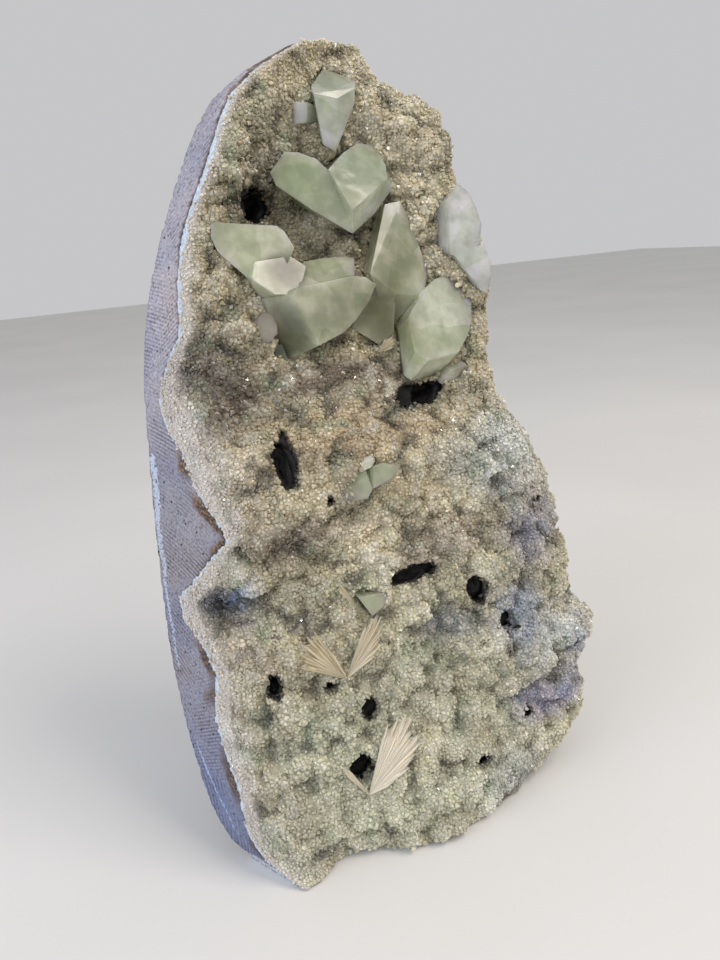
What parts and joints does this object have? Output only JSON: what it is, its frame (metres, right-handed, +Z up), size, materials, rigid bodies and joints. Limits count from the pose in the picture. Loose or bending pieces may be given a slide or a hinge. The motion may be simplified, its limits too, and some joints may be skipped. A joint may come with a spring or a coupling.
{
  "type": "apophyllite cluster on quartz-lined basalt matrix",
  "caption": "Standing basalt slab, sawn on its left side and foot, its face lined with sparkling quartz druse that carries green apophyllite crystals and scolecite needle fans.",
  "frame": {"origin": "on the surface it stands on, under the middle of the bounding box", "axes": "+Z up through the standing slab, -Y out of the crystal face, +X to the right as the crystal face is seen, away from the sawn side"},
  "size_m": [0.1912, 0.1082, 0.324],
  "materials": {
    "basalt": "matt mauve-grey basalt, sawn with fine arc marks on the left side and foot, brown and rough where it is broken",
    "druse": "glittering crust of small glassy grey-beige quartz points, paler on the crests, blue-grey and green in the hollows",
    "apophyllite": "glossy pale mint-green crystal, milky inside, with pearly faces",
    "scolecite": "silky cream needles grown side by side in flat fans"
  },
  "bodies": {
    "root": {"basalt_matrix": "basalt", "quartz_druse": "druse", "apophyllite_top": "apophyllite", "apophyllite_upper_pair": "apophyllite", "apophyllite_left_group": "apophyllite", "apophyllite_right_group": "apophyllite", "apophyllite_rim": "apophyllite", "apophyllite_middle": "apophyllite", "apophyllite_ledge": "apophyllite", "scolecite_bow": "scolecite", "scolecite_lower": "scolecite", "scolecite_blades": "scolecite", "scolecite_tuft": "scolecite"}
  },
  "joints": []
}
